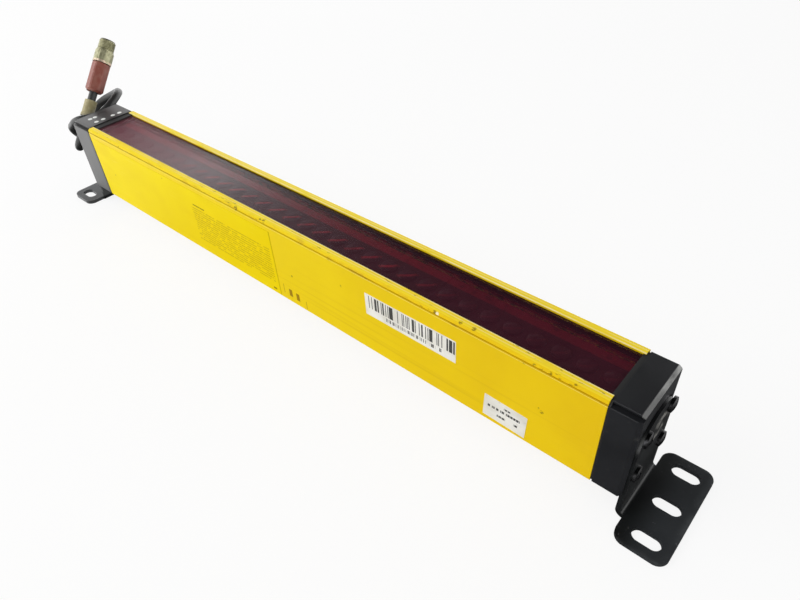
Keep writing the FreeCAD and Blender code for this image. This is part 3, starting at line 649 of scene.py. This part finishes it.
FINISHES = {
    "yellow_paint": yellow_paint(),
    "window_filter": window_filter(),
    "cap_plastic": cap_plastic(),
    "bracket_black": bracket_black(),
    "screw_steel": screw_steel(),
    "lens_red": lens_red(),
    "board_green": board_green(),
    "label_yellow": label_yellow(),
    "sticker_white": sticker_white(),
    "cable_black": cable_black(),
    "sleeve_tan": sleeve_tan(),
    "grip_red": grip_red(),
    "nut_nickel": nut_nickel(),
    "seal_rubber": moulded_black("seal_rubber", "0a0a0b", "121213", 0.5, 1800),
    "carrier_black": carrier_black(),
    "part_black": moulded_black("part_black", "17181a", "202124", 0.45),
    "gland_black": moulded_black("gland_black", "191a1b", "242526", 0.4),
    "insert_black": moulded_black("insert_black", "1c1c1c", "272727", 0.45),
    "connector_seal": moulded_black("connector_seal", "141414", "1e1e1e", 0.6),
    "element_clear": plain("element_clear", "9a8f92", "b4aaac", 0.15, 900, 0.01),
    "pipe_white": plain("pipe_white", "d9dcd8", "eceeea", 0.25, 900, 0.01),
    "lead_grey": plain("lead_grey", "6f7072", "7e7f80", 0.5),
    "pin_gold": plain("pin_gold", "c79a3a", "dcb35a", 0.25, Metallic=1.0),
}

NODE_FINISH = {
    "housing_extrusion": "yellow_paint",
    "front_window": "window_filter",
    "window_seal_far": "seal_rubber",
    "window_seal_near": "seal_rubber",
    "gasket_far": "seal_rubber",
    "gasket_near": "seal_rubber",
    "control_board": "board_green",
    "control_parts": "part_black",
    "driver_board": "board_green",
    "driver_parts": "part_black",
    "end_cap_near": "cap_plastic",
    "end_cap_far": "cap_plastic",
    "light_pipes": "pipe_white",
    "indicator_board": "board_green",
    "indicator_lamps": "element_clear",
    "bracket_near": "bracket_black",
    "bracket_far": "bracket_black",
    "screws_near": "screw_steel",
    "screws_far": "screw_steel",
    "gland_body": "gland_black",
    "gland_dome": "gland_black",
    "gland_locknut": "gland_black",
    "inner_leads": "lead_grey",
    "cable": "cable_black",
    "marker_sleeve": "sleeve_tan",
    "connector_grip": "grip_red",
    "connector_insert": "insert_black",
    "connector_seal": "connector_seal",
    "contact_pins": "pin_gold",
    "coupling_nut": "nut_nickel",
    "side_label": "label_yellow",
    "barcode_sticker": "sticker_white",
    "small_sticker": "sticker_white",
}
for number in range(1, MODULES + 1):
    NODE_FINISH[f"optic_carrier_{number}"] = "carrier_black"
    NODE_FINISH[f"lens_strip_{number}"] = "lens_red"
    NODE_FINISH[f"element_board_{number}"] = "board_green"
    NODE_FINISH[f"beam_elements_{number}"] = "element_clear"

for name, finish in NODE_FINISH.items():
    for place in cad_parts[name].material_slots:
        place.material = FINISHES[finish]


def camera():
    """The photograph's view: from above the labelled side, beyond the near end."""
    data = bpy.data.cameras.new("camera")
    data.lens = LENS
    data.sensor_width = 36.0
    data.clip_start = 0.01
    eye = bpy.data.objects.new("camera", data)
    bpy.context.collection.objects.link(eye)
    turn = Matrix((RIGHT, RIGHT.cross(AHEAD), -AHEAD)).transposed().to_4x4()
    eye.matrix_world = Matrix.Translation(EYE * MM) @ turn
    bpy.context.scene.camera = eye


def lamp(name, place, power, width):
    """A soft square lamp that faces the middle of the curtain."""
    data = bpy.data.lights.new(name, "AREA")
    data.energy = power
    data.size = width
    light = bpy.data.objects.new(name, data)
    bpy.context.collection.objects.link(light)
    light.location = place
    light.rotation_euler = (-Vector(place)).to_track_quat("-Z", "Y").to_euler()


def studio():
    """White surroundings, a pale floor that keeps its shadow, and soft lamps."""
    scene = bpy.context.scene
    scene.view_settings.view_transform = "Standard"
    scene.world = bpy.data.worlds.new("studio")
    room = Nodes(scene.world)
    around = room.tree.nodes["Background"]
    around.inputs["Color"].default_value = WHITE
    around.inputs["Strength"].default_value = ROOM_LIGHT
    backdrop = room.node("ShaderNodeBackground", None, {"Color": WHITE, "Strength": 1.0})
    ways = room.node("ShaderNodeTexCoord").outputs["Generated"]
    axes = room.node("ShaderNodeSeparateXYZ", None, {"Vector": ways})
    height = room.node("ShaderNodeMapRange", {"interpolation_type": "SMOOTHSTEP"}, {
        "Value": Value(room, axes.outputs["Z"]).size(),
        "From Min": MIRROR_HEIGHT[0], "From Max": MIRROR_HEIGHT[1],
        "To Min": MIRROR_LIGHT[0], "To Max": MIRROR_LIGHT[1]})
    mirrored = room.node("ShaderNodeBackground", None, {
        "Color": WHITE, "Strength": height.outputs["Result"]})
    path = room.node("ShaderNodeLightPath")
    bent = room.mix(path.outputs["Is Glossy Ray"], around, mirrored)
    room.show(room.mix(path.outputs["Is Camera Ray"], bent, backdrop), "World Output")

    shape = bmesh.new()
    bmesh.ops.create_grid(shape, x_segments=2, y_segments=2, size=FLOOR_REACH)
    floor = piece("floor", shape)
    f = Finish("floor_white", Roughness=0.9, Specular_IOR_Level=0.1)
    f.colour(f.blend(f.noise(3, 2) * 0.3, "fafafa", "f7f7f6"))
    path = f.node("ShaderNodeLightPath")
    glow = f.node("ShaderNodeEmission", None, {"Color": WHITE, "Strength": 1.0})
    seen = Value(f, path.outputs["Is Camera Ray"]) * FLOOR_GLOW
    f.show(f.mix(seen, f.shader, glow), "Material Output")
    floor.data.materials.append(f.material)
    floor.visible_glossy = False
    for name, (place, power, width) in LAMPS.items():
        lamp(name, place, power, width)


def piece(name, shape, finish=None):
    """A finished mesh as an object at the origin, with its finish."""
    data = bpy.data.meshes.new(name)
    shape.normal_update()
    shape.to_mesh(data)
    shape.free()
    made = bpy.data.objects.new(name, data)
    bpy.context.collection.objects.link(made)
    if finish:
        data.materials.append(FINISHES[finish])
    return made


def plug_frame():
    """Turns the connector's own axes, with Z along it from its base, into the curtain's."""
    turn = Vector((0, 0, 1)).rotation_difference(PLUG_AXIS).to_matrix().to_4x4()
    return Matrix.Translation(PLUG_BASE) @ turn


def cable():
    """The cable on its route, from the gland round the cap to the connector."""
    points = [Vector((-(CAP_END + u), y, z + BACK_FACE)) * MM for u, y, z in CABLE_ROUTE]
    before = (points[-1] - points[-2]).length
    points.append(points[-1] + PLUG_AXIS * before)
    points.append(PLUG_BASE + PLUG_AXIS * LAST_RUN * MM)
    curve = bpy.data.curves.new("cable_run", "CURVE")
    curve.dimensions = "3D"
    spline = curve.splines.new("NURBS")
    spline.points.add(len(points) - 1)
    for point, place in zip(spline.points, points):
        point.co = (*place, 1)
    spline.order_u = 3
    spline.use_endpoint_u = True
    spline.resolution_u = 8
    curve.bevel_depth = CABLE_DIAMETER / 2 * MM
    curve.bevel_resolution = 5
    curve.use_fill_caps = True
    run = bpy.data.objects.new("cable_run", curve)
    bpy.context.collection.objects.link(run)
    curve.materials.append(FINISHES["cable_black"])
    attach(run, "curtain")
    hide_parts("cable")
    on_cable = (
        "marker_sleeve", "connector_grip", "connector_insert", "connector_seal", "contact_pins")
    carried = [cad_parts[name] for name in on_cable]
    carried + [nut()]


def ring_up(shape, edges, rise=0.0, scale=1.0):
    """Draws a ring of edges up by rise, then scales the new ring about the axis."""
    drawn = bmesh.ops.extrude_edge_only(shape, edges=edges)["geom"]
    verts = [v for v in drawn if isinstance(v, bmesh.types.BMVert)]
    bmesh.ops.translate(shape, verts=verts, vec=(0, 0, rise * MM))
    if scale != 1:
        bmesh.ops.scale(shape, verts=verts, vec=(scale, scale, 1))
    return [e for e in drawn if isinstance(e, bmesh.types.BMEdge)]


def nut():
    """Coupling nut: a ring with finger flutes, a smooth shoulder, an outer thread and a bore."""
    shape = bmesh.new()
    start = bmesh.ops.create_circle(
        shape, segments=FLUTES * FLUTE_EDGES, radius=NUT_RING_RADIUS * MM)
    for vert in start["verts"]:
        angle = math.atan2(vert.co.y, vert.co.x)
        vert.co *= 1 - max(0.0, math.cos(angle * FLUTES)) ** 2 * FLUTE_SHARE
    bmesh.ops.translate(shape, verts=start["verts"], vec=(0, 0, NUT_START * MM))
    first = list(shape.edges)
    ring = ring_up(shape, first)
    bmesh.ops.scale(shape, verts=start["verts"], vec=(NUT_FOOT_SHARE, NUT_FOOT_SHARE, 1))
    ring = ring_up(shape, ring, NUT_RING_LENGTH)
    ring = ring_up(shape, ring, NUT_ROUND_LENGTH, NUT_ROUND_SHARE)
    at = NUT_START + NUT_RING_LENGTH + NUT_ROUND_LENGTH
    for vert in {vert for edge in ring for vert in edge.verts}:
        flat = Vector((vert.co.x, vert.co.y, 0))
        vert.co = flat.normalized() * NUT_SHOULDER_RADIUS * MM + Vector((0, 0, at * MM))

    at += NUT_SHOULDER_LENGTH
    crest = NUT_THREAD_RADIUS
    root = crest - THREAD_DEPTH
    pitch = (NUT_END - NUT_TIP_LENGTH - NUT_RUNOUT_LENGTH - at) / THREAD_TURNS
    shoulder = [(NUT_SHOULDER_LENGTH, 1.0), (0.0, root / NUT_SHOULDER_RADIUS)]
    turn = [
        (pitch * FLANK_SHARE, crest / root),
        (pitch * CREST_SHARE, 1.0),
        (pitch * FLANK_SHARE, root / crest),
    ]
    tip_and_bore = [
        (NUT_RUNOUT_LENGTH, 1.0),
        (NUT_TIP_LENGTH, NUT_TIP_SHARE),
        (0.0, NUT_BORE_RADIUS / (root * NUT_TIP_SHARE)),
        (NUT_SEAT - NUT_END, 1.0),
        (0.0, NUT_NECK_RADIUS / NUT_BORE_RADIUS),
        (NUT_START - NUT_SEAT, 1.0),
    ]
    for rise, scale in shoulder + turn * THREAD_TURNS + tip_and_bore:
        ring = ring_up(shape, ring, rise, scale)
    bmesh.ops.bridge_loops(shape, edges=ring + first)
    bmesh.ops.recalc_face_normals(shape, faces=list(shape.faces))
    bmesh.ops.transform(shape, matrix=plug_frame(), verts=list(shape.verts))
    made = piece("nut_ring", shape, "nut_nickel")
    made.data.shade_smooth()
    made.data.set_sharp_from_angle(angle=math.radians(CREASE_ANGLE))
    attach(made, "nut")
    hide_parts("coupling_nut")
    return made


camera()
cable()
studio()
